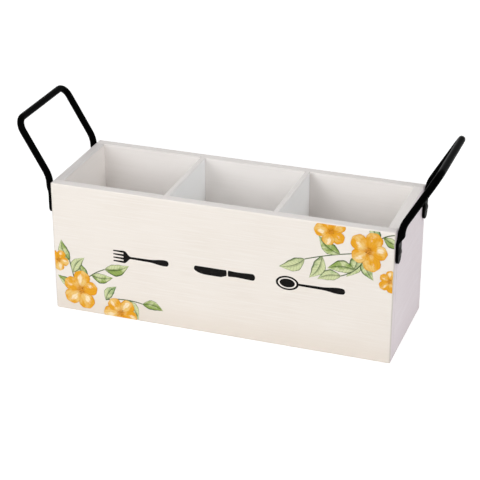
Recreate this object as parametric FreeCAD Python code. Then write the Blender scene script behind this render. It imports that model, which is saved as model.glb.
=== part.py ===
"""Open-topped cutlery caddy: a painted wooden box with three compartments and two bent rod handles.

Millimetres, +Z up.  The origin is the centre of the footprint on the table.  +X runs along the
box to its right end, and -Y is the front.
"""
import FreeCAD, Part
import math
import os

# Box
BOX_LENGTH = 350.0
BOX_DEPTH = 120.0
BOX_HEIGHT = 138.5
LONG_BOARD = 10.0          # thickness of the front and back boards
END_BOARD = 10.0
BOTTOM_BOARD = 6.0
DIVIDER = 5.0
OUTER_EASE = 1.6           # rounding of the edges on the outside of the box
RIM_EASE = 0.9             # rounding of the rim's inner edges and of the divider tops
HOUSING_DEPTH = 2.5        # how far a divider is let into each long board
HOUSING_GAP = 0.1          # air on each side of a divider in its housing

# Handles
ROD_DIAMETER = 7.0
HANDLE_INSET = 7.0         # centre of a leg, inwards from the front or back face
HANDLE_TILT = 30.0         # degrees that a handle leans outwards
BEND_RISE = 3.3            # where the straight leg and the leaning leg would meet, above the rim
LEAN_LENGTH = 63.2         # from that meeting point to the centre line of the grip
BEND_RADIUS = 30.0         # centre line of the bend beside the rim
GRIP_RADIUS = 12.0         # centre line of the two grip corners
LEG_STRAIGHT = 0.4         # round rod left straight between the bend and the neck
ROD_STANDOFF = 0.2         # air between the round leg and the end of the box
SEAT_GAP = 0.02            # paint film between a pressed end and what it touches

# Flattened ends of the handles
PADDLE_WIDTH = 13.4
PADDLE_THICKNESS = 3.0
PADDLE_LENGTH = 21.5       # flat part, from the neck to the rounded tip
NECK_LENGTH = 7.0          # stretch over which the round rod is pressed flat
SCREW_BELOW_NECK = 9.4
SCREW_HOLE_GAP = 0.3       # radial air round a screw in its paddle

# Handle screws
SCREW_LENGTH = 16.0        # under the head
SCREW_CORE = 3.0
SCREW_HEAD = 8.0
SCREW_HEAD_EDGE = 0.4      # height of the head's upright rim
SCREW_DOME = 1.1           # rise of the dome above that rim
CROSS_WIDTH = 0.9
CROSS_SPAN = 4.4
CROSS_DEPTH = 1.0

# Brads that hold the boards
BRAD_LENGTH = 25.0
BRAD_SHANK = 1.4
BRAD_HEAD = 2.0
BRAD_HEAD_HEIGHT = 1.0
BRAD_POINT = 2.2
BRAD_SINK = 1.0            # depth of the head below the filled and painted face
PILOT_GAP = 0.05           # radial air round a brad or a screw in the wood
BRADS_PER_CORNER = 3
CORNER_BRAD_LOW = 20.0     # lowest brad of a corner, above the table
CORNER_BRAD_DROP = 35.0    # highest brad of a corner, below the rim
BOTTOM_BRAD_PITCH = 110.0  # along each long edge of the bottom board
BOTTOM_BRADS = 3
END_BRAD_PITCH = 60.0      # along each short edge of the bottom board
END_BRADS = 2

SAME_PLACE = 1e-6          # places closer than this are the same
OVERCUT = 1.0              # how far a cutting shape runs past the face it opens
SECTION_STEPS = 8          # steps between the points that shape half a section
NECK_SECTIONS = 5
FLAT_SQUARENESS = 8.0      # exponent of the flat section's outline; 2 is an ellipse

# Places that follow from the sizes above
END_X = BOX_LENGTH / 2
FACE_Y = BOX_DEPTH / 2
INNER_X = END_X - END_BOARD
INNER_Y = FACE_Y - LONG_BOARD
ROD = ROD_DIAMETER / 2
LEG_Y = FACE_Y - HANDLE_INSET
LEG_X = END_X + ROD_STANDOFF + ROD
BEND_Z = BOX_HEIGHT + BEND_RISE
TILT = math.radians(HANDLE_TILT)
NECK_TOP = BEND_Z - BEND_RADIUS * math.tan(TILT / 2) - LEG_STRAIGHT
NECK_BOTTOM = NECK_TOP - NECK_LENGTH
SCREW_Z = NECK_BOTTOM - SCREW_BELOW_NECK

X_AXIS = FreeCAD.Vector(1, 0, 0)
Y_AXIS = FreeCAD.Vector(0, 1, 0)
Z_AXIS = FreeCAD.Vector(0, 0, 1)


def point(x, y, z):
    return FreeCAD.Vector(x, y, z)


def block(x, y, z):
    """A box from three (low, high) pairs."""
    size = [high - low for low, high in (x, y, z)]
    return Part.makeBox(*size, point(x[0], y[0], z[0]))


def eased(board, radius, wanted):
    """Round every straight edge of a board whose middle satisfies wanted(x, y, z)."""
    edges = []
    for edge in board.Edges:
        middle = edge.CenterOfMass
        if wanted(middle.x, middle.y, middle.z):
            edges.append(edge)
    return board.makeFillet(radius, edges)


def near(value, target):
    return abs(value - target) < SAME_PLACE


def spaced(count, low, high):
    """Evenly spaced places from low to high."""
    if count == 1:
        return [(low + high) / 2]
    return [low + (high - low) * i / (count - 1) for i in range(count)]


def centred(count, pitch):
    reach = pitch * (count - 1) / 2
    return spaced(count, -reach, reach)


# ---- fasteners -------------------------------------------------------------------------------

def turned(outline):
    """Solid of revolution about Z from (radius, height) pairs that start and end on the axis."""
    wire = Part.makePolygon([point(r, 0, z) for r, z in outline + outline[:1]])
    return Part.Face(wire).revolve(point(0, 0, 0), Z_AXIS, 360)


def brad(gap=0.0):
    """A brad that points down Z, with the top of its head at the origin."""
    head = BRAD_HEAD / 2 + gap
    shank = BRAD_SHANK / 2 + gap
    neck = -BRAD_HEAD_HEIGHT - gap
    point_start = BRAD_POINT - BRAD_LENGTH
    return turned([(0, gap), (head, gap), (head, neck), (shank, neck),
                   (shank, point_start), (0, -BRAD_LENGTH - gap)])


def brad_places():
    """(head position, direction of the point) of every brad."""
    places = []
    head_y = FACE_Y - BRAD_SINK
    head_x = END_X - BRAD_SINK
    for side in (-1, 1):
        towards_middle = Y_AXIS * -side
        for end in (-1, 1):
            x = end * (END_X - END_BOARD / 2)
            for z in spaced(BRADS_PER_CORNER, CORNER_BRAD_LOW, BOX_HEIGHT - CORNER_BRAD_DROP):
                places.append((point(x, side * head_y, z), towards_middle))
        for x in centred(BOTTOM_BRADS, BOTTOM_BRAD_PITCH):
            places.append((point(x, side * head_y, BOTTOM_BOARD / 2), towards_middle))
    for end in (-1, 1):
        for y in centred(END_BRADS, END_BRAD_PITCH):
            places.append((point(end * head_x, y, BOTTOM_BOARD / 2), X_AXIS * -end))
    return places


def aimed(solid, position, direction):
    """Turn a fastener that points down Z, and put the top of it at position."""
    solid = solid.copy()
    solid.Placement = FreeCAD.Placement(position, FreeCAD.Rotation(Z_AXIS * -1, direction))
    return solid


def brads(gap=0.0):
    return Part.makeCompound([aimed(brad(gap), *place) for place in brad_places()])


def screw_core(gap=0.0):
    """Shank and point of a handle screw, down Z from the underside of the head at the origin."""
    radius = SCREW_CORE / 2 + gap
    return turned([(0, 0), (radius, 0), (radius, SCREW_CORE - SCREW_LENGTH), (0, -SCREW_LENGTH - gap)])


def screw():
    """A low domed wood screw with a cross recess, down Z from the underside of its head."""
    rim = SCREW_HEAD / 2
    crown = SCREW_HEAD_EDGE + SCREW_DOME
    dome_radius = (rim ** 2 + SCREW_DOME ** 2) / (2 * SCREW_DOME)
    half_angle = math.asin(rim / dome_radius) / 2
    shoulder = point(dome_radius * math.sin(half_angle), 0,
                     crown - dome_radius * (1 - math.cos(half_angle)))
    dome = Part.Arc(point(rim, 0, SCREW_HEAD_EDGE), shoulder, point(0, 0, crown))
    sides = [Part.makeLine(point(0, 0, crown), point(0, 0, 0)),
             Part.makeLine(point(0, 0, 0), point(rim, 0, 0)),
             Part.makeLine(point(rim, 0, 0), point(rim, 0, SCREW_HEAD_EDGE))]
    head = Part.Face(Part.Wire(sides + [dome.toShape()])).revolve(point(0, 0, 0), Z_AXIS, 360)
    arm = (-CROSS_SPAN / 2, CROSS_SPAN / 2)
    width = (-CROSS_WIDTH / 2, CROSS_WIDTH / 2)
    depth = (crown - CROSS_DEPTH, crown + OVERCUT)
    cross = block(arm, width, depth).fuse(block(width, arm, depth))
    return head.cut(cross).fuse(screw_core()).removeSplitter()


def screw_places():
    """(underside of the head, direction of the point) of the four handle screws."""
    head_x = END_X + SEAT_GAP + PADDLE_THICKNESS + SEAT_GAP
    places = []
    for end in (-1, 1):
        for side in (-1, 1):
            places.append((point(end * head_x, side * LEG_Y, SCREW_Z), X_AXIS * -end))
    return places


def handle_screws():
    return Part.makeCompound([aimed(screw(), *place) for place in screw_places()])


def pilot_holes():
    """All that is bored into the boards: the holes of the brads and of the screws."""
    bores = [aimed(screw_core(PILOT_GAP), *place) for place in screw_places()]
    return Part.makeCompound(brads(PILOT_GAP).Solids + bores)


# ---- boards ----------------------------------------------------------------------------------

def divider_places():
    """Middle of each divider along X, with three compartments of equal length."""
    compartment = (2 * INNER_X - 2 * DIVIDER) / 3
    middle = (compartment + DIVIDER) / 2
    return [-middle, middle]


def long_board(side):
    """Front (side -1) or back (side 1) board, full length, housed for the dividers."""
    across = sorted((side * INNER_Y, side * FACE_Y))
    board = block((-END_X, END_X), across, (0, BOX_HEIGHT))

    def outside(x, y, z):
        on_face = near(y, side * FACE_Y)
        return on_face or (near(abs(x), END_X) and (near(z, 0) or near(z, BOX_HEIGHT)))

    board = eased(board, OUTER_EASE, outside)
    board = eased(board, RIM_EASE, lambda x, y, z: near(y, side * INNER_Y) and near(z, BOX_HEIGHT))
    half = DIVIDER / 2 + HOUSING_GAP
    depth = sorted((side * (INNER_Y - OVERCUT), side * (INNER_Y + HOUSING_DEPTH)))
    for x in divider_places():
        board = board.cut(block((x - half, x + half), depth, (BOTTOM_BOARD, BOX_HEIGHT + OVERCUT)))
    return board


def end_board(end):
    """Left (end -1) or right (end 1) board, between the long boards."""
    across = sorted((end * INNER_X, end * END_X))
    board = block(across, (-INNER_Y, INNER_Y), (0, BOX_HEIGHT))

    def outside(x, y, z):
        return near(x, end * END_X) and (near(z, 0) or near(z, BOX_HEIGHT))

    board = eased(board, OUTER_EASE, outside)
    return eased(board, RIM_EASE, lambda x, y, z: near(x, end * INNER_X) and near(z, BOX_HEIGHT))


def bottom_board():
    return block((-INNER_X, INNER_X), (-INNER_Y, INNER_Y), (0, BOTTOM_BOARD))


def divider(x):
    reach = INNER_Y + HOUSING_DEPTH - HOUSING_GAP
    board = block((x - DIVIDER / 2, x + DIVIDER / 2), (-reach, reach), (BOTTOM_BOARD, BOX_HEIGHT))

    def top_edge(mid_x, mid_y, mid_z):
        return near(mid_z, BOX_HEIGHT) and near(mid_y, 0)

    return eased(board, RIM_EASE, top_edge)


# ---- handles ---------------------------------------------------------------------------------

def rounded_path(corners, radii):
    """Straight runs through the corners, joined by tangent arcs."""
    edges = []
    start = corners[0]
    for before, corner, after, radius in zip(corners, corners[1:], corners[2:], radii):
        back = (before - corner).normalize()
        onward = (after - corner).normalize()
        half = back.getAngle(onward) / 2
        enter = corner + back * (radius / math.tan(half))
        leave = corner + onward * (radius / math.tan(half))
        middle_way = (back + onward).normalize()
        crown = corner + middle_way * (radius / math.sin(half) - radius)
        edges.append(Part.LineSegment(start, enter).toShape())
        edges.append(Part.Arc(enter, crown, leave).toShape())
        start = leave
    edges.append(Part.LineSegment(start, corners[-1]).toShape())
    return Part.Wire(edges)


def rod_path():
    """Centre line of the right handle's round rod: leg, bend, grip, bend and leg."""
    grip_x = LEG_X + LEAN_LENGTH * math.sin(TILT)
    grip_z = BEND_Z + LEAN_LENGTH * math.cos(TILT)
    corners = [point(LEG_X, -LEG_Y, NECK_TOP), point(LEG_X, -LEG_Y, BEND_Z),
               point(grip_x, -LEG_Y, grip_z), point(grip_x, LEG_Y, grip_z),
               point(LEG_X, LEG_Y, BEND_Z), point(LEG_X, LEG_Y, NECK_TOP)]
    return rounded_path(corners, [BEND_RADIUS, GRIP_RADIUS, GRIP_RADIUS, BEND_RADIUS])


def pressed_section(pressing, z):
    """Closed section of the rod's end: round at pressing 0 and flat at pressing 1.

    It is a curve through the points of one half and that curve's mirror image, so that the halves
    match exactly where the tip is turned from one of them.
    """
    half_width = ROD + (PADDLE_WIDTH / 2 - ROD) * pressing
    half_thickness = ROD + (PADDLE_THICKNESS / 2 - ROD) * pressing
    power = 2 / (2 + (FLAT_SQUARENESS - 2) * pressing)
    air = ROD_STANDOFF + (SEAT_GAP - ROD_STANDOFF) * pressing
    middle_x = END_X + air + half_thickness
    points = [point(middle_x - half_thickness, 0, z)]
    for i in range(1, SECTION_STEPS):
        angle = math.pi * (i / SECTION_STEPS - 0.5)
        across = math.cos(angle) ** power
        out = math.copysign(abs(math.sin(angle)) ** power, angle)
        points.append(point(middle_x + half_thickness * out, half_width * across, z))
    points.append(point(middle_x + half_thickness, 0, z))
    curve = Part.BSplineCurve()
    curve.interpolate(Points=points, InitialTangent=Y_AXIS, FinalTangent=Y_AXIS * -1)
    half = curve.toShape()
    return Part.Wire([half, half.mirror(point(0, 0, 0), Y_AXIS)])


def level_face(solid, z):
    """The flat face of a solid that lies at height z."""
    for face in solid.Faces:
        if near(face.BoundBox.ZMin, z) and near(face.BoundBox.ZMax, z):
            return face


def paddle():
    """Flattened end of a leg, centred on Y 0: neck, flat, and a rounded tip.

    Each stretch starts from the end face of the one before, so they join without a step.
    """
    sections = []
    for i in range(NECK_SECTIONS):
        t = i / (NECK_SECTIONS - 1)
        pressing = t * t * (3 - 2 * t)
        sections.append(pressed_section(pressing, NECK_TOP - NECK_LENGTH * t))
    neck = Part.makeLoft(sections, True, False)
    tip_centre = NECK_BOTTOM - PADDLE_LENGTH + PADDLE_WIDTH / 2
    flat = level_face(neck, NECK_BOTTOM).extrude(point(0, 0, tip_centre - NECK_BOTTOM))
    outer_x = END_X + SEAT_GAP + PADDLE_THICKNESS
    half_room = block((END_X, outer_x + OVERCUT), (0, PADDLE_WIDTH),
                      (tip_centre - OVERCUT, tip_centre + OVERCUT))
    half_face = level_face(flat, tip_centre).common(half_room).Faces[0]
    tip = half_face.revolve(point(END_X, 0, tip_centre), X_AXIS, -180)
    hole = Part.makeCylinder(SCREW_CORE / 2 + SCREW_HOLE_GAP, PADDLE_THICKNESS + 2 * OVERCUT,
                             point(END_X - OVERCUT, 0, SCREW_Z), X_AXIS)
    return neck.fuse([flat, tip]).cut(hole)


def handle(end):
    """Left (end -1) or right (end 1) handle: one rod, bent, with both ends pressed flat."""
    front_end = paddle().translated(point(0, -LEG_Y, 0))
    back_end = front_end.translated(point(0, 2 * LEG_Y, 0))
    section = level_face(front_end, NECK_TOP).OuterWire
    rod = rod_path().makePipeShell([section], True, False)
    right = rod.fuse([front_end, back_end])
    if end > 0:
        return right
    return right.mirror(point(0, 0, 0), X_AXIS)


# ---- the caddy -------------------------------------------------------------------------------

def build():
    """Every node of the caddy, by name."""
    nodes = {
        "front_board": long_board(-1),
        "back_board": long_board(1),
        "left_end_board": end_board(-1),
        "right_end_board": end_board(1),
        "bottom_board": bottom_board(),
    }
    holes = pilot_holes()
    for name, board in nodes.items():
        nodes[name] = board.cut(holes)
    left, right = divider_places()
    nodes["left_divider"] = divider(left)
    nodes["right_divider"] = divider(right)
    nodes["left_handle"] = handle(-1)
    nodes["right_handle"] = handle(1)
    nodes["handle_screws"] = handle_screws()
    nodes["frame_brads"] = brads()
    return nodes


os.makedirs("parts", exist_ok=True)
for name, shape in build().items():
    shape.exportStep(f"parts/{name}.step")
    box = shape.BoundBox
    print(f"{name:16} solids {len(shape.Solids):3} volume {shape.Volume / 1000:9.2f} cm3",
          f"valid {shape.isValid()} x {box.XMin:.1f} {box.XMax:.1f} y {box.YMin:.1f} {box.YMax:.1f}",
          f"z {box.ZMin:.1f} {box.ZMax:.1f}")
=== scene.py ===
"""Cutlery caddy: brushed off-white boards with a printed front, and two black rod handles."""
import math

import bmesh
import bpy
from mathutils import Matrix, Vector


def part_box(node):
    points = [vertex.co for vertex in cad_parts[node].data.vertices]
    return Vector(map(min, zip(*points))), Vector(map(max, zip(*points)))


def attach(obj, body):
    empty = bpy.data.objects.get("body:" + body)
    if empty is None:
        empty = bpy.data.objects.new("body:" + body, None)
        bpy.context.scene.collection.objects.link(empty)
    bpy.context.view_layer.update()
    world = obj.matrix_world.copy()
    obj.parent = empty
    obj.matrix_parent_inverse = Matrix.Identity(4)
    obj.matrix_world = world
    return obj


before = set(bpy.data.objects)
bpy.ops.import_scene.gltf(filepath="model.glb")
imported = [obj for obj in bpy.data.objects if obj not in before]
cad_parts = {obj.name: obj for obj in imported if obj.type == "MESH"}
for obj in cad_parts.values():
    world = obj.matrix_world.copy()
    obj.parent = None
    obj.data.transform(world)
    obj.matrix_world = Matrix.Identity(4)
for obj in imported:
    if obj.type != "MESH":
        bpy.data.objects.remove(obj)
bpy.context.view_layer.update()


# ---- Painted boards --------------------------------------------------------------------------
# Softwood boards, glued and bradded into a box and brushed with two coats of satin off-white.
# The brush went along the grain of each board, so its streaks do too.  Painted shade darkens the inside.

class Value:
    """A number on its way through a material, so that sums written with it add Math nodes."""

    def __init__(self, socket):
        self.socket = socket

    def math(self, operation, *terms):
        made = self.socket.id_data.nodes.new("ShaderNodeMath")
        made.operation = operation
        for socket, term in zip(made.inputs, terms):
            plug(socket, term)
        return Value(made.outputs[0])

    def __add__(self, other):
        return self.math("ADD", self, other)

    def __radd__(self, other):
        return self.math("ADD", other, self)

    def __sub__(self, other):
        return self.math("SUBTRACT", self, other)

    def __rsub__(self, other):
        return self.math("SUBTRACT", other, self)

    def __mul__(self, other):
        return self.math("MULTIPLY", self, other)

    def __rmul__(self, other):
        return self.math("MULTIPLY", other, self)

    def __truediv__(self, other):
        return self.math("DIVIDE", self, other)

    def __pow__(self, other):
        return self.math("POWER", self, other)

    def __abs__(self):
        return self.math("ABSOLUTE", self)


def plug(socket, value):
    """Link a Value to an input, or set the input to a plain number or colour."""
    if isinstance(value, Value):
        socket.id_data.links.new(value.socket, socket)
    else:
        socket.default_value = value


COLOUR_A, COLOUR_B, COLOUR_OUT = 6, 7, 2   # numbers of the Mix node's colour sockets


class Finish:
    """A material, and the one way in which nodes are added to it."""

    def __init__(self, name):
        self.material = bpy.data.materials.new(name)
        self.material.use_nodes = True
        self.tree = self.material.node_tree
        self.shader = self.tree.nodes["Principled BSDF"]

    def node(self, kind, settings=None, inputs=None, output=0):
        """Add a node: its settings first, then the values or links of its sockets."""
        made = self.tree.nodes.new("ShaderNode" + kind)
        for name, setting in (settings or {}).items():
            setattr(made, name, setting)
        for name, value in (inputs or {}).items():
            plug(made.inputs[name], value)
        return Value(made.outputs[output])

    def blend(self, factor, first, second):
        """Colour that goes from first to second as factor goes from 0 to 1."""
        return self.node("Mix", {"data_type": "RGBA", "clamp_factor": True},
                         {"Factor": factor, COLOUR_A: first, COLOUR_B: second}, COLOUR_OUT)

    def step(self, value, low, high):
        """Smooth rise from 0 to 1 as value goes from low to high."""
        settings = {"interpolation_type": "SMOOTHSTEP"}
        return self.node("MapRange", settings, {"Value": value, "From Min": low, "From Max": high})

    def touch(self, paint, value, span, second, share=1.0):
        """Paint that goes a share of the way to a second colour as value crosses the span."""
        return self.blend(self.step(value, *span) * share, paint, second)

    def place(self):
        """Object coordinates."""
        return self.node("TexCoord", output="Object")

    def split(self, vector):
        """The three parts of a vector."""
        first = self.node("SeparateXYZ", None, {0: vector})
        return [Value(socket) for socket in first.socket.node.outputs]

    def cloud(self, vector, size, detail=2.0, roughness=0.5):
        """Noise around 0.5 with features of that size, in metres: one, or one for each axis."""
        sizes = size if isinstance(size, (tuple, list)) else (size, size, size)
        scaled = self.node("Mapping", {"vector_type": "POINT"},
                           {"Vector": vector, "Scale": [1 / length for length in sizes]})
        return self.node("TexNoise", {"noise_dimensions": "3D"},
                         {"Vector": scaled, "Scale": 1.0, "Detail": detail, "Roughness": roughness})

    def relief(self, height, depth, under=None):
        """Normal of a surface raised by height times depth, in metres."""
        inputs = {"Height": height, "Distance": depth, "Strength": 1.0}
        if under is not None:
            inputs["Normal"] = under
        return self.node("Bump", None, inputs)

    def shade(self, **sockets):
        """Set or link the shader's own sockets, named with _ for a space."""
        for name, value in sockets.items():
            plug(self.shader.inputs[name.replace("_", " ")], value)
        return self.material


def colour(red, green, blue):
    """A colour written as it looks on screen, 0 to 255, as the linear colour that nodes use."""
    def linear(level):
        level = level / 255
        return level / 12.92 if level <= 0.04045 else ((level + 0.055) / 1.055) ** 2.4
    return (linear(red), linear(green), linear(blue), 1.0)


def dress(node, material):
    """Give every material slot of one of the frame's nodes that material."""
    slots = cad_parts[node].data.materials
    for index in range(len(slots)):
        slots[index] = material
    if len(slots) == 0:
        slots.append(material)


AXES = "XYZ"


def along(axis, length_and_width):
    """Feature size with the length along one axis and the width along the other two."""
    length, width = length_and_width
    return [length if name == axis else width for name in AXES]


LONG_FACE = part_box("back_board")[1][1]
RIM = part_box("back_board")[1][2]
END_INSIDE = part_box("right_end_board")[0][0]
END_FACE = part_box("right_end_board")[1][0]
END_BOARD_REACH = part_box("right_end_board")[1][1]
DIVIDER_MIDDLE = (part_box("right_divider")[0][0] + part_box("right_divider")[1][0]) / 2
DIVIDER_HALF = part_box("right_divider")[1][0] - DIVIDER_MIDDLE

STREAK = (0.048, 0.0015)                   # length along the grain and width of a brush streak
STREAK_FORM = {"detail": 3.0, "roughness": 0.6}
GRAIN = (0.030, 0.0005)                    # the same of a pore of the wood
PATCH = 0.05                               # size of the blotches that the coats dried in
BRUSH_RELIEF = 0.00006
GRAIN_RELIEF = 0.00004
SATIN = 0.42                               # least roughness of the paint
SATIN_RANGE = 0.16                         # and how much the streaks add to it
STREAK_WEIGHT = 0.6                        # of the streaks, beside the patches, in a thin spot
THIN_SPOTS = (0.44, 0.68)                  # noise over which the paint goes from middling to thin
THICK_SPOTS = (0.50, 0.30)
OPEN_PORES = (0.60, 0.75)
GROUND_THINS = 0.20                        # shares of the thin and thick colours that show there
COAT_THINS = 0.30
COAT_THICKENS = 0.35
PORE_SHOWS = 0.22
COAT_ROUND = 0.0015                        # how far a second coat is carried round an edge
FOOT_SHADE_HEIGHT = 0.035                               # height up to which the coats darken towards the foot, painted shade
FOOT_SHADE_SHOWS = 0.8
SEAM = 0.0003                              # half width of the hairline where two boards meet
OPEN_SEAM = (0.3, 0.6)                     # patches in which the hairline shows
SEAM_SHOWS = 0.5
CORNER = 0.0016                            # width of the rounded upright corners, rubbed thin
CORNER_SHOWS = 0.7
SHADE_TOP = 0.118                           # height at which painted shade starts to darken the inside
SHADE_BOTTOM = 0.075
SHADE_REACH = 0.018                         # how far it spreads from an upright inner corner
SHADE_ALL_OVER = 0.06                       # share of its colour, and what the corners add
SHADE_IN_CORNERS = 0.44
SHADOW_NARROW = 0.006                      # reach at the rim of the painted shadow beside the right divider
SHADOW_SPREAD = 1.0                        # and how fast it grows downwards
SHADOW_SHOWS = 0.50

# Each first coat has its colour, and that where it is thin; each second coat also where it is thick.
WHITE_GROUND = (colour(250, 246, 243), colour(240, 235, 230))
# The left end's ground is darker than the others: painted shade.
SHADED_GROUND = (colour(243, 238, 234), colour(232, 226, 221))
COOL_GROUND = (colour(247, 248, 248), colour(237, 237, 235))
WARM_COAT = (colour(235, 228, 220), colour(225, 215, 204), colour(241, 236, 231))
# The rose coat of the ends and the back: the paint's rose tint, made darker than the front as painted
# shade.
ROSE_SHADED_COAT = (colour(223, 213, 217), colour(216, 205, 209), colour(228, 221, 225))
# Rim coats are darker than the faces below them, painted shade; the right end's rim coat is lighter,
# painted light, and the left end's darker still, painted shade.
SHADED_RIM_COAT = (colour(227, 222, 219), colour(218, 212, 207), colour(233, 229, 226))
LIT_RIM_COAT = (colour(236, 231, 228), colour(227, 222, 217), colour(241, 238, 235))
DEEP_SHADED_RIM_COAT = (colour(216, 211, 209), colour(206, 201, 198), colour(223, 219, 217))
SEAM_SHADE = colour(188, 180, 172)
# Colour of the painted shade and the painted shadow inside the compartments.
INSIDE_SHADE = colour(205, 199, 195)


def painted_inside_shade(finish, place, paint, divider_shadow):
    """Painted shade low in the compartments, most in their upright corners, and a painted shadow.

    The painted shadow lies beside the right divider and widens downwards.
    """
    from_divider = abs(abs(place["X"]) - DIVIDER_MIDDLE) - DIVIDER_HALF
    # Painted shade: darker low down in the compartments, most in their upright corners.
    beside = (finish.step(END_INSIDE - abs(place["X"]), SHADE_REACH, 0.0)
              + finish.step(from_divider, SHADE_REACH, 0.0))
    behind = finish.step(END_BOARD_REACH - abs(place["Y"]), SHADE_REACH, 0.0)
    dust_and_shade = SHADE_ALL_OVER + SHADE_IN_CORNERS * beside * behind
    paint = finish.blend(finish.step(place["Z"], SHADE_TOP, SHADE_BOTTOM) * dust_and_shade, paint, INSIDE_SHADE)
    # A painted shadow beside the right divider, widening downwards.
    past_divider = place["X"] - DIVIDER_MIDDLE - DIVIDER_HALF
    reach = SHADOW_NARROW + (RIM - place["Z"]) * SHADOW_SPREAD
    shadowed = finish.step(past_divider, reach, 0.0) * finish.step(past_divider, -DIVIDER_HALF, 0.0)
    return finish.blend(shadowed * divider_shadow, paint, INSIDE_SHADE)


def rubbed_edges(finish, place, patches, paint):
    """Paint rubbed thin at the seams between the long boards and the ends, and at the corners."""
    seam = finish.step(abs(abs(place["Y"]) - END_BOARD_REACH), SEAM, 0.0)
    seam = seam * finish.step(abs(place["X"]), END_FACE - COAT_ROUND, END_FACE)
    paint = finish.touch(paint, patches, OPEN_SEAM, SEAM_SHADE, share=seam * SEAM_SHOWS)
    corner = (finish.step(abs(place["X"]), END_FACE - CORNER, END_FACE - CORNER / 3)
              * finish.step(abs(place["Y"]), LONG_FACE - CORNER, LONG_FACE - CORNER / 3))
    return finish.blend(corner * CORNER_SHOWS, paint, SEAM_SHADE)


def brushed_paint(name, grain, coats, ground, divider_shadow=0.0):
    """Satin white, brushed along the grain axis, with a second coat on some outer faces.

    The ground is the first coat's colour, and that where it is thin.  Each of the second coats
    gives the axis that it looks along, how far out its face lies, and its colours.  They darken
    towards the foot of the box, painted shade, and the inside carries painted shade and shadow.
    """
    finish = Finish(name)
    vector = finish.place()
    place = dict(zip(AXES, finish.split(vector)))
    streaks = finish.cloud(vector, along(grain, STREAK), **STREAK_FORM)
    pores = finish.cloud(vector, along(grain, GRAIN))
    patches = finish.cloud(vector, PATCH, detail=1.0)
    thin = finish.step(streaks * STREAK_WEIGHT + patches * (1 - STREAK_WEIGHT), *THIN_SPOTS)
    paint = finish.blend(thin * GROUND_THINS, *ground)
    # Painted shade inside, and a painted shadow beside the right divider.
    paint = painted_inside_shade(finish, place, paint, divider_shadow)
    for axis, face, (middling_coat, thin_and_shaded_coat, thick_coat) in coats:
        coat = finish.blend(thin * COAT_THINS, middling_coat, thin_and_shaded_coat)
        coat = finish.touch(coat, streaks, THICK_SPOTS, thick_coat, COAT_THICKENS)
        coat = finish.touch(coat, pores, OPEN_PORES, thin_and_shaded_coat, PORE_SHOWS)
        # The coats darken towards the foot of the box: painted shade.
        coat = finish.touch(coat, place["Z"], (FOOT_SHADE_HEIGHT, 0.0), thin_and_shaded_coat, FOOT_SHADE_SHOWS)
        paint = finish.touch(paint, abs(place[axis]), (face - COAT_ROUND, face), coat)
    paint = rubbed_edges(finish, place, patches, paint)
    grained = finish.relief(pores, GRAIN_RELIEF, finish.relief(streaks, BRUSH_RELIEF))
    return finish.shade(Base_Color=paint, Roughness=SATIN + SATIN_RANGE * streaks, Normal=grained)


# The end faces carry the rose coat, darker than the front: painted shade.
end_coat = ("X", END_FACE, ROSE_SHADED_COAT)
# The top faces are darker than the faces below them: painted shade.
shaded_rim = ("Z", RIM, SHADED_RIM_COAT)
# The grain, the second coats and the first coat of each board, and how dark its painted shadow beside the
# right divider is.
BOARDS = {
    "front_board": ("X", [shaded_rim, end_coat, ("Y", LONG_FACE, WARM_COAT)], WHITE_GROUND),
    "back_board": ("X", [shaded_rim, end_coat, ("Y", LONG_FACE, ROSE_SHADED_COAT)], WHITE_GROUND, SHADOW_SHOWS),
    # The left end has a darker rim and ground, painted shade; the right end a lighter rim, painted light.
    "left_end_board": ("Y", [("Z", RIM, DEEP_SHADED_RIM_COAT), end_coat], SHADED_GROUND),
    "right_end_board": ("Y", [("Z", RIM, LIT_RIM_COAT), end_coat], WHITE_GROUND),
    "bottom_board": ("X", [], WHITE_GROUND),
    "left_divider": ("Y", [shaded_rim], COOL_GROUND),
    "right_divider": ("Y", [shaded_rim], COOL_GROUND),
}
for node, finishing in BOARDS.items():
    dress(node, brushed_paint("paint_" + node, *finishing))


# ---- Rod handles -----------------------------------------------------------------------------
# Seven-millimetre mild steel rod, bent in a jig, its ends pressed flat and drilled.  It is powder
# coated satin black, which leaves a very fine orange-peel skin.

BLACK = colour(1, 1, 1)
BLACK_DUSTY = colour(5, 5, 6)
BLACK_SHEEN = 0.01                         # specular level of the coat
BLACK_GLOSS = 0.26                         # least roughness
PEEL = 0.0011                              # size of the bumps of the orange peel
PEEL_RELIEF = 0.00002
DUSTING = 0.012                            # size of the dusty patches
DUSTY_SPOTS = (0.5, 0.75)

finish = Finish("black_powder_coat")
vector = finish.place()
peel = finish.cloud(vector, PEEL, detail=1.0)
dust_and_shade = finish.cloud(vector, DUSTING, detail=3.0)
powder_coat = finish.shade(Base_Color=finish.touch(BLACK, dust_and_shade, DUSTY_SPOTS, BLACK_DUSTY, share=0.6),
                           Roughness=BLACK_GLOSS + 0.14 * dust_and_shade, Specular_IOR_Level=BLACK_SHEEN,
                           Normal=finish.relief(peel, PEEL_RELIEF))
for node in ("left_handle", "right_handle"):
    dress(node, powder_coat)


# ---- Screws and brads ------------------------------------------------------------------------
# Low domed wood screws, blackened, with a cross recess.  The brads are bright wire, driven below
# the surface and filled over.

STEEL = (colour(20, 19, 19), colour(48, 45, 43))
TARNISH = 0.0008
TARNISH_RELIEF = 0.00002
WIRE = (colour(150, 150, 152), colour(200, 200, 202))
DRAW_MARK = (0.006, 0.0004)                # length and width of the marks of the drawing die
DRAW_RELIEF = 0.00001

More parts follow.
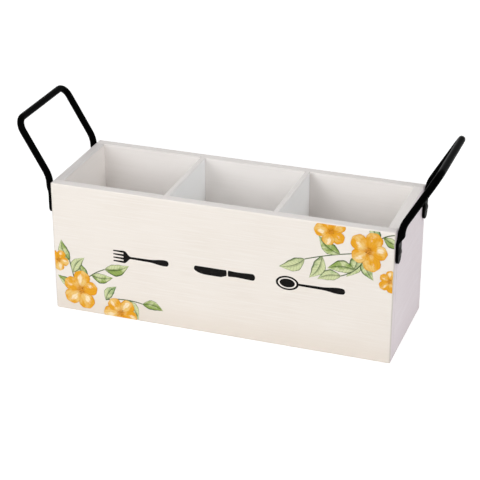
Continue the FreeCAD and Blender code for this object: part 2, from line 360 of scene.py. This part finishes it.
finish = Finish("blackened_steel")
tarnish = finish.cloud(finish.place(), TARNISH, detail=3.0)
dress("handle_screws", finish.shade(Base_Color=finish.blend(tarnish, *STEEL), Metallic=0.6,
                                    Roughness=0.38 + 0.2 * tarnish,
                                    Normal=finish.relief(tarnish, TARNISH_RELIEF)))

finish = Finish("bright_wire")
drawn = finish.cloud(finish.place(), along("Y", DRAW_MARK))
dress("frame_brads", finish.shade(Base_Color=finish.blend(drawn, *WIRE), Metallic=1.0,
                                  Roughness=0.25 + 0.2 * drawn,
                                  Normal=finish.relief(drawn, DRAW_RELIEF)))


# ---- Filled brad heads -----------------------------------------------------------------------
# Each brad is sunk and filled over.  The filler is rubbed back to a faint disc, which dries a
# little smoother and paler under the paint than the wood round it.

FACE_LIFT = 0.000015                       # from the board to the lowest film, and on to the next
FILM_RISE = 0.000006                       # how far the middle of a film stands above its edge
FILM_ROWS = 28
FILM_COLUMNS = 8
SAME_POINT = 1e-7                          # film corners closer than this are one


def film(name, length, low, high):
    """A thin closed pad that grows up Z from the origin, with its front towards -Y.

    Its sides stand at low(u) and high(u) along X, where u goes from 0 at the root to 1 at the tip.
    """
    shape = bmesh.new()
    uv = shape.loops.layers.uv.new("UVMap")
    for side in (-1, 1):
        rows = []
        for row in range(FILM_ROWS + 1):
            u = (1 - math.cos(math.pi * row / FILM_ROWS)) / 2
            line = []
            for column in range(FILM_COLUMNS + 1):
                v = column / FILM_COLUMNS
                swell = side * FILM_RISE * math.sin(math.pi * u) * math.sin(math.pi * v)
                across = low(u) * (1 - v) + high(u) * v
                line.append((shape.verts.new((across, swell, length * u)), (v, u)))
            rows.append(line)
        for lower, upper in zip(rows, rows[1:]):
            for column in range(FILM_COLUMNS):
                around = [lower[column], lower[column + 1], upper[column + 1], upper[column]]
                if side > 0:
                    around.reverse()
                face = shape.faces.new([point for point, place in around])
                for loop, (point, place) in zip(face.loops, around):
                    loop[uv].uv = place
    bmesh.ops.remove_doubles(shape, verts=shape.verts, dist=SAME_POINT)
    mesh = bpy.data.meshes.new(name)
    shape.to_mesh(mesh)
    shape.free()
    return mesh


def rounded(u, start, end):
    """From 0 to 1 and back as u goes from 0 to 1, in quarter ellipses start and end long."""
    near = min(u / start, 1)
    far = min((1 - u) / end, 1)
    return math.sqrt(max(0, 1 - (1 - near) ** 2)) * math.sqrt(max(0, 1 - (1 - far) ** 2))


def even(half):
    """The two sides of a film whose half width is half(u)."""
    return (lambda u: -half(u)), half


def ellipse(length, half):
    return film("ellipse", length, *even(lambda u: half * rounded(u, 0.5, 0.5)))


def lifted(mesh, place, facing, lift):
    """Lay a film on a wall at place, where facing turns its front from -Y round the Z axis."""
    turn = Matrix.Rotation(facing, 4, "Z")
    mesh.transform(Matrix.Translation(Vector(place) + turn @ Vector((0, -lift, 0))) @ turn)
    return mesh


def as_piece(name, films, material, trims=()):
    """One piece of the box from some films, cut off at the planes in trims and closed again."""
    shape = bmesh.new()
    for mesh in films:
        shape.from_mesh(mesh)
    for place, outward in trims:
        whole = shape.verts[:] + shape.edges[:] + shape.faces[:]
        bmesh.ops.bisect_plane(shape, geom=whole, plane_co=place, plane_no=outward, clear_outer=True)
        bmesh.ops.holes_fill(shape, edges=[edge for edge in shape.edges if edge.is_boundary])
    mesh = bpy.data.meshes.new(name)
    shape.to_mesh(mesh)
    shape.free()
    mesh.materials.append(material)
    piece = bpy.data.objects.new(name, mesh)
    bpy.context.scene.collection.objects.link(piece)
    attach(piece, "root")


FILLER_RADIUS = 0.0017
CORNER_MIDDLE = 0.170                      # from the middle of the box to the brads of a corner
CORNER_HEIGHTS = (0.0200, 0.06175, 0.1035)
BOTTOM_MIDDLE = 0.003                      # height of the brads into the bottom board
LONG_EDGE_PLACES = (-0.110, 0, 0.110)
END_EDGE_PLACES = (-0.030, 0.030)
BACKWARDS = math.pi
SIDEWAYS = math.pi / 2
SMEAR = 0.0015

places = [(x, LONG_FACE, BOTTOM_MIDDLE) for x in LONG_EDGE_PLACES]
places += [(x, LONG_FACE, z) for x in (-CORNER_MIDDLE, CORNER_MIDDLE) for z in CORNER_HEIGHTS]
spots = [(place, BACKWARDS) for place in places]
for side in (-1, 1):
    spots += [((side * END_FACE, y, BOTTOM_MIDDLE), side * SIDEWAYS) for y in END_EDGE_PLACES]

finish = Finish("filled_paint")
smear = finish.cloud(finish.place(), SMEAR)
filled = finish.shade(Base_Color=finish.blend(smear, ROSE_SHADED_COAT[0], ROSE_SHADED_COAT[2]),
                      Roughness=0.36 + 0.12 * smear, Normal=finish.relief(smear, GRAIN_RELIEF))
centre = Vector((0, 0, FILLER_RADIUS))
as_piece("filler_spots",
         [lifted(ellipse(2 * FILLER_RADIUS, FILLER_RADIUS), Vector(place) - centre, facing, FACE_LIFT)
          for place, facing in spots], filled)


# ---- Printed cutlery -------------------------------------------------------------------------
# A fork, a knife and a spoon in near-black ink over the middle of the three compartments, where
# they say what goes in each.  They are transfer printed: films that overlap, each a few
# hundredths of a millimetre proud.

def through(points, u):
    """The value at u of a smooth line through those (u, value) points."""
    for (before, value), (after, target) in zip(points, points[1:]):
        if u <= after:
            share = (1 - math.cos(math.pi * (u - before) / (after - before))) / 2
            return value + (target - value) * share
    return points[-1][1]


def laid(mesh, x, z, turn=0.0, over=0):
    """Lay a film on the front board: its root at x and z, turned clockwise, over other films."""
    mesh.transform(Matrix.Rotation(turn, 4, "Y"))
    return lifted(mesh, (x, -LONG_FACE, z), 0.0, FACE_LIFT * (1 + over))


CUTLERY_HEIGHT = 0.0695                    # of their shared centre line
TOWARDS_LEFT = -math.pi / 2                # each starts at the end of its handle
TUCK = 0.002                               # how far a handle runs on under the head
HANDLE = ((0, 0.0030), (0.12, 0.0033), (0.50, 0.0015), (1, 0.0012))     # half widths along it
HANDLE_ENDS = (0.05, 0.01)                 # shares of the length over which the ends are rounded
FORK_END = -0.051
FORK_LENGTH = 0.059
FORK_HEAD = 0.019                          # length from the shoulders to the tips
PALM_SHARE = 0.42                          # of the head, with half widths:
PALM = ((0, 0.0012), (0.9, 0.0067), (1, 0.0067))
TINES = 4
TINE_SHARE = 0.64
TINE_PITCH = 0.0037
TINE_ROOT_HALF = 0.00121
TINE_TIP_HALF = 0.00066
TINE_ENDS = (0.02, 0.05)
KNIFE_END = 0.0385
KNIFE_LENGTH = 0.063
KNIFE_HANDLE = ((0, 0.0036), (0.7, 0.0029), (1, 0.0033))
KNIFE_HANDLE_ENDS = (0.10, 0.03)
KNIFE_GAP = 0.001
BLADE = 0.034
BLADE_EDGE = ((0, 0.00312), (0.2, 0.0052), (1, 0.0052))
BLADE_EDGE_ENDS = (0.02, 0.42)
BLADE_BACK = 0.0032
BLADE_BACK_ENDS = (0.02, 0.06)
SPOON_END = 0.1285
SPOON_LENGTH = 0.069
BOWL = 0.023
BOWL_HALF = 0.0075
BOWL_RIM = (0.0022, 0.00176)               # width of the bowl's outline at its ends and sides
BOWL_MIDDLE = (0.00385, 0.00286)           # how far the inked middle of the bowl stands in


def shaped(name, length, profile, ends):
    """A film with those half widths along it and rounded ends."""
    return film(name, length, *even(lambda u: through(profile, u) * rounded(u, *ends)))


def on_line(mesh, x, above=0.0, over=0):
    """Lay a film along the centre line, from x to the left."""
    return laid(mesh, x, CUTLERY_HEIGHT + above, TOWARDS_LEFT, over)


def tine_half(u):
    return (TINE_ROOT_HALF * (1 - u) + TINE_TIP_HALF * u) * rounded(u, *TINE_ENDS)


shoulders = FORK_END - FORK_LENGTH + FORK_HEAD
fork = [on_line(shaped("handle", FORK_LENGTH - FORK_HEAD + TUCK, HANDLE, HANDLE_ENDS), FORK_END)]
palm = film("palm", FORK_HEAD * PALM_SHARE, *even(lambda u: through(PALM, u)))
fork.append(on_line(palm, shoulders, over=1))
for tine in range(TINES):
    prong = film("tine", FORK_HEAD * TINE_SHARE, *even(tine_half))
    above = (tine - (TINES - 1) / 2) * TINE_PITCH
    fork.append(on_line(prong, shoulders - FORK_HEAD * (1 - TINE_SHARE), above, over=2))

grip = shaped("knife_handle", KNIFE_LENGTH - BLADE - KNIFE_GAP, KNIFE_HANDLE, KNIFE_HANDLE_ENDS)
blade = film("blade", BLADE, lambda u: -through(BLADE_EDGE, u) * rounded(u, *BLADE_EDGE_ENDS),
             lambda u: BLADE_BACK * rounded(u, *BLADE_BACK_ENDS))
knife = [on_line(grip, KNIFE_END), on_line(blade, KNIFE_END - KNIFE_LENGTH + BLADE)]


def bowl(at_ends, at_sides, over):
    """An ellipse that stands in from the outline of the spoon's bowl by those widths."""
    root = SPOON_END - SPOON_LENGTH + BOWL - at_ends
    return on_line(ellipse(BOWL - 2 * at_ends, BOWL_HALF - at_sides), root, over=over)


spoon = [on_line(shaped("handle", SPOON_LENGTH - BOWL + TUCK, HANDLE, HANDLE_ENDS), SPOON_END),
         bowl(0.0, 0.0, over=1), bowl(*BOWL_MIDDLE, over=3)]

INK = colour(9, 8, 7)
INK_WORN = colour(44, 40, 37)
INK_SHEEN = 0.08                           # specular level of the ink
INK_GRAIN = (0.012, 0.0004)
INK_BLOT = 0.003
INK_RELIEF = 0.00002
BITE_WEIGHT = 0.6                          # of the wood's grain, beside the blots, in worn ink
WORN_SPOTS = (0.55, 0.68)
finish = Finish("black_ink")
vector = finish.place()
bite = finish.cloud(vector, along("X", INK_GRAIN))
blot = finish.cloud(vector, INK_BLOT)
wear = bite * BITE_WEIGHT + blot * (1 - BITE_WEIGHT)
ink = finish.shade(Base_Color=finish.touch(INK, wear, WORN_SPOTS, INK_WORN), Roughness=0.5 + 0.15 * blot,
                   Specular_IOR_Level=INK_SHEEN, Normal=finish.relief(bite, INK_RELIEF))
finish = Finish("bare_ground")
streaks = finish.cloud(finish.place(), along("X", STREAK), **STREAK_FORM)
bare_ground = finish.shade(Base_Color=finish.blend(streaks, WARM_COAT[0], WARM_COAT[2]),
                           Roughness=SATIN + SATIN_RANGE * streaks,
                           Normal=finish.relief(streaks, BRUSH_RELIEF))
as_piece("printed_cutlery", fork + knife + spoon, ink)
as_piece("spoon_bowl_line", [bowl(*BOWL_RIM, over=2)], bare_ground)


# ---- Printed sprays --------------------------------------------------------------------------
# Golden blossoms and green leaves in watercolour tints, in the top right and bottom left corners
# of the front.  The transfer was trimmed along the edges of the board.

LEAST, MOST, DRAWN = 2, 3, 1               # numbers of the Random Value node's float sockets


class Growth:
    """A Geometry Nodes tree with named inputs, and the one way in which nodes are added to it."""

    def __init__(self, name, **inputs):
        self.tree = bpy.data.node_groups.new(name, "GeometryNodeTree")
        self.sockets = {}
        for label, kind in inputs.items():
            made = self.tree.interface.new_socket(label, in_out="INPUT", socket_type="NodeSocket" + kind)
            self.sockets[label] = made.identifier
        self.tree.interface.new_socket("Geometry", in_out="OUTPUT", socket_type="NodeSocketGeometry")
        self.given = self.tree.nodes.new("NodeGroupInput").outputs
        self.result = self.tree.nodes.new("NodeGroupOutput").inputs[0]

    def node(self, kind, settings=None, inputs=None, output=0):
        """Add a node: its settings first, then the values or links of its sockets."""
        made = self.tree.nodes.new(kind)
        for name, setting in (settings or {}).items():
            setattr(made, name, setting)
        for name, value in (inputs or {}).items():
            if isinstance(value, bpy.types.NodeSocket):
                self.tree.links.new(value, made.inputs[name])
            else:
                plug(made.inputs[name], value)
        return made.outputs[output]

    def value(self, label):
        return Value(self.given[label])

    def geometry(self, kind, settings=None, inputs=None, output=0):
        return self.node("GeometryNode" + kind, settings, inputs, output)

    def index(self):
        return Value(self.geometry("InputIndex"))

    def vector(self, x, y, z):
        return Value(self.node("ShaderNodeCombineXYZ", None, {"X": x, "Y": y, "Z": z}))

    def random(self, low, high, seed):
        """A number between low and high that differs from instance to instance."""
        inputs = {LEAST: low, MOST: high, "Seed": seed}
        return Value(self.node("FunctionNodeRandomValue", None, inputs, DRAWN))

    def place_films(self, points, film_object, turn, scale, seed, layer=FACE_LIFT):
        """Instances of a film at the points, each over the one before, with a tint of its own."""
        layered = self.geometry("SetPosition", None, {
            "Geometry": points, "Offset": self.vector(0.0, self.index() * -layer, 0.0)})
        source = self.geometry("ObjectInfo", None, {"Object": film_object}, "Geometry")
        instances = self.geometry("InstanceOnPoints", None, {
            "Points": layered, "Instance": source,
            "Rotation": self.vector(0.0, turn, 0.0), "Scale": self.vector(scale, 1.0, scale)})
        tinted = self.geometry("StoreNamedAttribute", {"data_type": "FLOAT", "domain": "INSTANCE"}, {
            "Geometry": instances, "Name": "tint", "Value": self.random(0.0, 1.0, seed + TINT_SEED)})
        return self.geometry("RealizeInstances", None, {"Geometry": tinted})

    def close(self, geometry):
        """End the tree: that geometry, in the material that it is given."""
        painted = self.geometry("SetMaterial", None, {
            "Geometry": geometry, "Material": self.given["Material"]})
        self.tree.links.new(painted, self.result)
        return self

    def grow(self, **inputs):
        """The mesh that the tree makes from those inputs."""
        holder = bpy.data.objects.new("holder", bpy.data.meshes.new("holder"))
        bpy.context.scene.collection.objects.link(holder)
        modifier = holder.modifiers.new("growth", "NODES")
        modifier.node_group = self.tree
        for label, value in inputs.items():
            modifier[self.sockets[label]] = value
        view = bpy.context.evaluated_depsgraph_get()
        mesh = bpy.data.meshes.new_from_object(
            holder.evaluated_get(view), preserve_all_data_layers=True, depsgraph=view)
        bpy.data.objects.remove(holder)
        return mesh


TINT_SEED = 7                              # keeps the tints apart from the other draws
SIZE_SEED = 1
PETAL_SIZES = (0.86, 1.08)
STAMEN_SIZES = (0.6, 1.2)
STAMEN_LIFT = 0.000002
GOLDEN_ANGLE = math.pi * (3 - math.sqrt(5))
LEAF_SIZES = (0.8, 1.1)
LEAF_STRAY = 0.2                           # how far a leaf's turn strays from the even one
STEM_STEPS = 24
STEM_SIDES = 8
STEM_FLATNESS = 0.02                       # thickness over width


def ring_of_petals():
    """Petals turned round one point, each a little off its even place."""
    ring = Growth("ring_of_petals", Petal="Object", Count="Int", Size="Float", Wheel="Float",
                  Jitter="Float", Seed="Int", Material="Material")
    seed = ring.value("Seed")
    share = ring.index() / ring.value("Count")
    turn = ring.value("Wheel") + share * math.tau + ring.random(-1.0, 1.0, seed) * ring.value("Jitter")
    size = ring.value("Size") * ring.random(*PETAL_SIZES, seed + SIZE_SEED)
    centre = ring.geometry("Points", None, {"Count": ring.value("Count")})
    return ring.close(ring.place_films(centre, ring.given["Petal"], turn, size, seed))


def disc_of_stamens():
    """Dots on a spiral of golden angles, as in the middle of a real flower."""
    disc = Growth("disc_of_stamens", Dot="Object", Count="Int", Reach="Float", Size="Float",
                  Seed="Int", Material="Material")
    seed = disc.value("Seed")
    distance = (disc.index() / disc.value("Count")) ** 0.5 * disc.value("Reach")
    angle = disc.index() * GOLDEN_ANGLE
    spread = disc.vector(distance * angle.math("SINE", angle), 0.0, distance * angle.math("COSINE", angle))
    dots = disc.geometry("Points", None, {"Count": disc.value("Count"), "Position": spread})
    size = disc.value("Size") * disc.random(*STAMEN_SIZES, seed)
    return disc.close(disc.place_films(dots, disc.given["Dot"], angle, size, seed, STAMEN_LIFT))


def leaves_on_a_stem():
    """A thin bowed stem with leaves to its two sides by turns, and one straight on at its tip."""
    sprig = Growth("leaves_on_a_stem", Leaf="Object", Count="Int", Size="Float", Lean="Float",
                   Middle="Vector", End="Vector", Stem="Float", Seed="Int", Material="Material")
    seed = sprig.value("Seed")
    count = sprig.value("Count")
    path = sprig.geometry("CurveQuadraticBezier", None, {
        "Resolution": STEM_STEPS, "Start": (0, 0, 0), "Middle": sprig.value("Middle"),
        "End": sprig.value("End")})
    points = sprig.geometry("CurveToPoints", None, {"Curve": path, "Count": count})
    tangent = sprig.node("ShaderNodeSeparateXYZ", None, {0: points.node.outputs["Tangent"]}).node.outputs
    heading = count.math("ARCTAN2", Value(tangent["X"]), Value(tangent["Z"]))
    index = sprig.index()
    # The last leaf is at the tip, and the others go by turns to the one side and the other.
    at_tip = index.math("GREATER_THAN", index, count - 1.5)
    side = (index.math("MODULO", index, 2.0) * 2 - 1) * (1 - at_tip)
    turn = heading + side * sprig.value("Lean") + sprig.random(-LEAF_STRAY, LEAF_STRAY, seed)
    size = sprig.value("Size") * sprig.random(*LEAF_SIZES, seed + SIZE_SEED)
    leaves = sprig.place_films(points, sprig.given["Leaf"], turn, size, seed)
    wire = sprig.geometry("CurvePrimitiveCircle", None, {
        "Resolution": STEM_SIDES, "Radius": sprig.value("Stem")})
    stem = sprig.geometry("CurveToMesh", None, {
        "Curve": path, "Profile Curve": wire, "Fill Caps": True})
    flat = sprig.vector(1.0, STEM_FLATNESS, 1.0)
    where = Value(sprig.geometry("InputPosition"))
    pressed = Value(sprig.node("ShaderNodeVectorMath", {"operation": "MULTIPLY"}, {0: where, 1: flat}))
    stem = sprig.geometry("SetPosition", None, {"Geometry": stem, "Position": pressed})
    joined = sprig.tree.nodes.new("GeometryNodeJoinGeometry")
    sprig.tree.links.new(stem, joined.inputs[0])
    sprig.tree.links.new(leaves, joined.inputs[0])
    return sprig.close(joined.outputs[0])


def water_edge(finish):
    """A point's places across and up its film, the film's tint, and how near the outline it is."""
    across, up = finish.split(finish.node("UVMap", {"uv_map": "UVMap"}))[:2]
    tint = finish.node("Attribute", {"attribute_name": "tint"}, output="Fac")
    return across, up, tint, abs(across * 2 - 1)


def dried(finish, wash, bloom, speck):
    """The wash as a dry film of paint, a little rougher where it bloomed."""
    return finish.shade(Base_Color=wash, Roughness=0.5 + 0.1 * bloom, Specular_IOR_Level=INK_SHEEN,
                        Normal=finish.relief(speck, WASH_RELIEF))


SPECK = 0.0012
STAMEN_SPECK = 0.0008
PETAL_BLOOM = 0.009
LEAF_BLOOM = 0.007
WASH_RELIEF = 0.00002
AMBER = colour(231, 164, 40)
AMBER_DEEP = colour(208, 127, 14)
AMBER_PALE = colour(237, 200, 122)
AMBER_WHITE = colour(248, 229, 194)
GLEAM_ACROSS = 0.38                        # middle of the light spot on a petal
GLEAM_UP = 0.6
VEIN_TURN = 34                             # radians of the petal's vein waves across its width
VEIN_WANDER = 3
finish = Finish("amber_wash")
vector = finish.place()
across, up, tint, rim = water_edge(finish)
bloom = finish.cloud(vector, PETAL_BLOOM, detail=3.0)
speck = finish.cloud(vector, SPECK)
lit = bloom + tint * 0.15 - rim * 0.12
gleam = bloom * 0.6 + speck * 0.2 - abs(across - GLEAM_ACROSS) * 0.9 - abs(up - GLEAM_UP) * 0.5
vein = across.math("SINE", across * VEIN_TURN + speck * VEIN_WANDER)
# Pale where it bloomed and white in the gleam; deep in the veins, the throat and the dried rim.
wash = finish.touch(AMBER, lit, (0.42, 0.68), AMBER_PALE)
wash = finish.touch(wash, gleam, (0.24, 0.38), AMBER_WHITE)
wash = finish.touch(wash, vein, (0.55, 1.0), AMBER_DEEP, share=0.28)
wash = finish.touch(wash, up + speck * 0.15, (0.42, 0.10), AMBER_DEEP, share=0.75)
wash = finish.touch(wash, rim + speck * 0.2, (0.98, 1.10), AMBER_DEEP, share=0.65)
amber = dried(finish, wash, bloom, speck)

STAMEN = colour(150, 84, 20)
STAMEN_PALE = colour(214, 140, 40)
finish = Finish("stamen_wash")
across, up, tint, rim = water_edge(finish)
speck = finish.cloud(finish.place(), STAMEN_SPECK)
wash = finish.touch(STAMEN_PALE, tint * 0.6 + rim * 0.4, (0.35, 0.8), STAMEN)
stamen = dried(finish, wash, speck, speck)

LEAF = colour(148, 170, 92)
LEAF_DEEP = colour(42, 74, 30)
LEAF_PALE = colour(208, 215, 166)
LEAF_BLUE = colour(120, 162, 118)
SIDE_VEINS = 9
VEIN_SLANT = 1.3
finish = Finish("leaf_wash")
vector = finish.place()
across, up, tint, rim = water_edge(finish)
bloom = finish.cloud(vector, LEAF_BLOOM, detail=3.0)
speck = finish.cloud(vector, SPECK)
slant = up * SIDE_VEINS - rim * VEIN_SLANT
side_vein = slant.math("PINGPONG", slant, 0.5)
left_of_rib = finish.step(across, 0.30, 0.46)
# Bluer on some leaves and pale where it bloomed; deep beside the rib, in the side veins, on the
# rib, at the root, round the dried rim and on the side to which the wet paint ran.
wash = finish.touch(LEAF, tint, (0.45, 0.75), LEAF_BLUE, share=0.6)
wash = finish.touch(wash, bloom + tint * 0.2 - across * 0.15, (0.38, 0.60), LEAF_PALE)
wash = finish.touch(wash, across + bloom * 0.3, (0.72, 0.56), LEAF_DEEP, share=left_of_rib * 0.5)
wash = finish.touch(wash, side_vein, (0.10, 0.02), LEAF_DEEP, share=0.35)
wash = finish.touch(wash, rim, (0.10, 0.03), LEAF_DEEP, share=0.7)
wash = finish.touch(wash, up + bloom * 0.3, (0.42, 0.12), LEAF_DEEP, share=0.6)
wash = finish.touch(wash, rim + speck * 0.25, (0.98, 1.10), LEAF_DEEP, share=0.8)
wash = finish.touch(wash, across + speck * 0.08, (0.86, 0.98), LEAF_DEEP, share=0.7)
green = dried(finish, wash, bloom, speck)

PETALS = 5
PETAL_LENGTH = 0.0190
PETAL_STRAY = 0.12                         # how far a petal's turn strays from the even one
PETAL_OUTLINE = {"half": 0.0080, "ripples": ((0.05, 17), (0.03, 31)), "lateness": 1.5, "point": 0.72}
LEAF_LENGTH = 0.0280
LEAF_BOW = 0.0030
LEAF_OUTLINE = {"half": 0.0066, "ripples": ((0.04, 23),), "lateness": 0.8, "point": 1.15}
STEM_RADIUS = 0.0005
STAMENS = 18
STAMEN_SIZE = 0.0011
STAMEN_REACH = 0.0032


def outline(u, half, ripples, lateness, point):
    """Half width at u of a petal or a leaf.

    It is widest past the middle where lateness is over 1, and ends in a sharper point where
    point is over 1.  Each of the ripples along its edge has a rise and radians for its length.
    """
    ripple = sum((rise * math.sin(turns * u) for rise, turns in ripples), 1)
    return half * ripple * math.sin(math.pi * u ** lateness) ** point


def stand_in(mesh):
    """An object outside the scene that Geometry Nodes may copy."""
    return bpy.data.objects.new(mesh.name, mesh)


def leaf(name, side):
    """A leaf that bows to one side, -1 or 1."""
    def bow(u):
        return side * LEAF_BOW * math.sin(math.pi * u)
    return stand_in(film(name, LEAF_LENGTH, lambda u: bow(u) - outline(u, **LEAF_OUTLINE),
                         lambda u: bow(u) + outline(u, **LEAF_OUTLINE)))


petal = stand_in(film("petal", PETAL_LENGTH, *even(lambda u: outline(u, **PETAL_OUTLINE))))
leaf_right = leaf("leaf_right", 1)
leaf_left = leaf("leaf_left", -1)
dot = stand_in(ellipse(STAMEN_SIZE, STAMEN_SIZE / 2))
petal_ring = ring_of_petals()
stamen_disc = disc_of_stamens()
leafy_stem = leaves_on_a_stem()

LEAF_LAYER = 0                             # in films, from the board outwards
PETAL_LAYER = 10
STAMEN_LAYER = 15
petals = []
leaves = []
stamens = []


def blossom(x, z, size, wheel, seed):
    """A round blossom seen from the front, turned by wheel."""
    made = petal_ring.grow(Petal=petal, Count=PETALS, Size=size, Wheel=wheel, Jitter=PETAL_STRAY,
                           Seed=seed, Material=amber)
    petals.append(laid(made, x, z, over=PETAL_LAYER))
    made = stamen_disc.grow(Dot=dot, Count=STAMENS, Reach=STAMEN_REACH * size, Size=size,
                            Seed=seed, Material=stamen)
    stamens.append(laid(made, x, z, over=STAMEN_LAYER))


def branch(x, z, shape, count, size, lean, middle, end, seed, over=0):
    """A stem from x and z to end, past middle, with leaves to both sides and one at its tip."""
    made = leafy_stem.grow(Leaf=shape, Count=count, Size=size, Lean=lean,
                           Middle=(middle[0], 0, middle[1]), End=(end[0], 0, end[1]),
                           Stem=STEM_RADIUS, Seed=seed, Material=green)
    leaves.append(laid(made, x, z, over=LEAF_LAYER + over))


blossom(0.150, 0.116, size=1.08, wheel=0.3, seed=3)
blossom(0.113, 0.131, size=0.86, wheel=0.9, seed=5)
blossom(0.171, 0.088, size=0.62, wheel=0.2, seed=8)
branch(0.140, 0.112, leaf_left, count=4, size=0.95, lean=0.9,
       middle=(-0.024, -0.004), end=(-0.052, -0.014), seed=2)
branch(0.146, 0.108, leaf_right, count=3, size=0.90, lean=0.8,
       middle=(-0.004, -0.014), end=(-0.022, -0.022), seed=4, over=4)
branch(0.156, 0.124, leaf_right, count=3, size=0.80, lean=0.9,
       middle=(0.006, 0.010), end=(0.018, 0.012), seed=6, over=7)

blossom(-0.147, 0.025, size=1.12, wheel=0.1, seed=11)
blossom(-0.104, 0.006, size=0.92, wheel=0.7, seed=13)
blossom(-0.170, 0.055, size=0.66, wheel=0.5, seed=17)
branch(-0.146, 0.030, leaf_right, count=3, size=1.00, lean=0.8,
       middle=(0.008, 0.014), end=(0.026, 0.022), seed=12)
branch(-0.120, 0.018, leaf_left, count=3, size=0.90, lean=0.8,
       middle=(0.020, 0.006), end=(0.040, 0.002), seed=14, over=3)
branch(-0.152, 0.030, leaf_left, count=3, size=0.85, lean=0.9,
       middle=(-0.004, 0.016), end=(-0.006, 0.026), seed=16, over=6)

EDGE_MARGIN = 0.0010                       # bare paint between the cut print and the edges
(left, _, bottom), (right, _, top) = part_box("front_board")
edges = [((left + EDGE_MARGIN, 0, 0), (-1, 0, 0)), ((right - EDGE_MARGIN, 0, 0), (1, 0, 0)),
         ((0, 0, bottom + EDGE_MARGIN), (0, 0, -1)), ((0, 0, top - EDGE_MARGIN), (0, 0, 1))]
as_piece("printed_leaves", leaves, green, edges)
as_piece("printed_petals", petals, amber, edges)
as_piece("printed_stamens", stamens, stamen, edges)


# ---- Floor, light and camera -----------------------------------------------------------------
# A plain white sweep, a soft key lamp at the front left, three weaker ones to its right
# and one behind.

FLOOR_REACH = 6.0
FLOOR_WHITE = colour(236, 236, 236)
FLOOR_ROUGHNESS = 0.9
LIFT_SPAN = (0.8, 2.6)                     # distances over which the floor lifts into the horizon
NEAR_LIFT = (0.45, 0.45, 0.45, 1)
FAR_LIFT = (0.75, 0.75, 0.75, 1)
WORLD_WHITE = (1, 1, 1, 1)
WORLD_LIGHT = 0.42


def seen(tree):
    """1 for the rays that show a surface to the viewer, also in a gloss or through glass."""
    path = tree.nodes.new("ShaderNodeLightPath")
    shown = Value(path.outputs["Is Camera Ray"])
    for name in ("Is Glossy Ray", "Is Transmission Ray"):
        shown = shown.math("MAXIMUM", shown, Value(path.outputs[name]))
    return shown


floor_mesh = bpy.data.meshes.new("floor")
corners = [(-FLOOR_REACH, -FLOOR_REACH, 0), (FLOOR_REACH, -FLOOR_REACH, 0),
           (FLOOR_REACH, FLOOR_REACH, 0), (-FLOOR_REACH, FLOOR_REACH, 0)]
floor_mesh.from_pydata(corners, [], [(0, 1, 2, 3)])
floor = bpy.data.objects.new("floor", floor_mesh)
bpy.context.scene.collection.objects.link(floor)

finish = Finish("floor_white")
distance = finish.node("VectorMath", {"operation": "LENGTH"}, {0: finish.place()}, output="Value")
glow = finish.node("Emission", None, {"Color": finish.touch(NEAR_LIFT, distance, LIFT_SPAN, FAR_LIFT),
                                      "Strength": seen(finish.tree)})
lifted_floor = finish.node("AddShader", None, {0: Value(finish.shader.outputs[0]), 1: glow})
plug(finish.tree.nodes["Material Output"].inputs["Surface"], lifted_floor)
floor_mesh.materials.append(finish.shade(Base_Color=FLOOR_WHITE, Roughness=FLOOR_ROUGHNESS))

world = bpy.data.worlds.new("studio")
bpy.context.scene.world = world
world.use_nodes = True
sky = world.node_tree.nodes["Background"].inputs
plug(sky["Color"], WORLD_WHITE)
plug(sky["Strength"], WORLD_LIGHT + (1 - WORLD_LIGHT) * seen(world.node_tree))


def lamp(name, place, size, power):
    """A square soft lamp at place that shines at the box."""
    data = bpy.data.lights.new(name, "AREA")
    data.shape = "SQUARE"
    data.size = size
    data.energy = power
    made = bpy.data.objects.new(name, data)
    made.location = place
    made.rotation_euler = (SUBJECT - Vector(place)).to_track_quat("-Z", "Y").to_euler()
    bpy.context.scene.collection.objects.link(made)


SUBJECT = Vector((0, 0, 0.08))
lamp("key_softbox", (-0.9, -1.5, 0.9), size=1.2, power=16.2)
lamp("corner_softbox", (0.9, -2.0, 1.1), size=1.4, power=5.2)
lamp("side_softbox", (2.1, -0.5, 1.3), size=1.4, power=11.5)
lamp("high_softbox", (0.9, -0.2, 1.5), size=1.0, power=4.4)
lamp("back_softbox", (-1.2, 2.0, 0.45), size=1.4, power=4.5)

CAMERA_AZIMUTH = math.radians(19.345)
CAMERA_ELEVATION = math.radians(25.704)
CAMERA_DISTANCE = 1.61993
CAMERA_SHIFT = 0.0019433                   # to the camera's right of the line to the origin
CAMERA_RISE = 0.068998                     # and above it
LENS = 118.994
SENSOR_WIDTH = 36

outwards = Vector((math.sin(CAMERA_AZIMUTH) * math.cos(CAMERA_ELEVATION),
                   -math.cos(CAMERA_AZIMUTH) * math.cos(CAMERA_ELEVATION),
                   math.sin(CAMERA_ELEVATION)))
sideways = Vector((math.cos(CAMERA_AZIMUTH), math.sin(CAMERA_AZIMUTH), 0))
upwards = outwards.cross(sideways)
camera = bpy.data.objects.new("camera", bpy.data.cameras.new("camera"))
camera.data.lens = LENS
camera.data.sensor_width = SENSOR_WIDTH
camera.location = outwards * CAMERA_DISTANCE + sideways * CAMERA_SHIFT + upwards * CAMERA_RISE
camera.rotation_euler = (-outwards).to_track_quat("-Z", "Y").to_euler()
bpy.context.scene.collection.objects.link(camera)
bpy.context.scene.camera = camera
bpy.context.scene.view_settings.view_transform = "Standard"
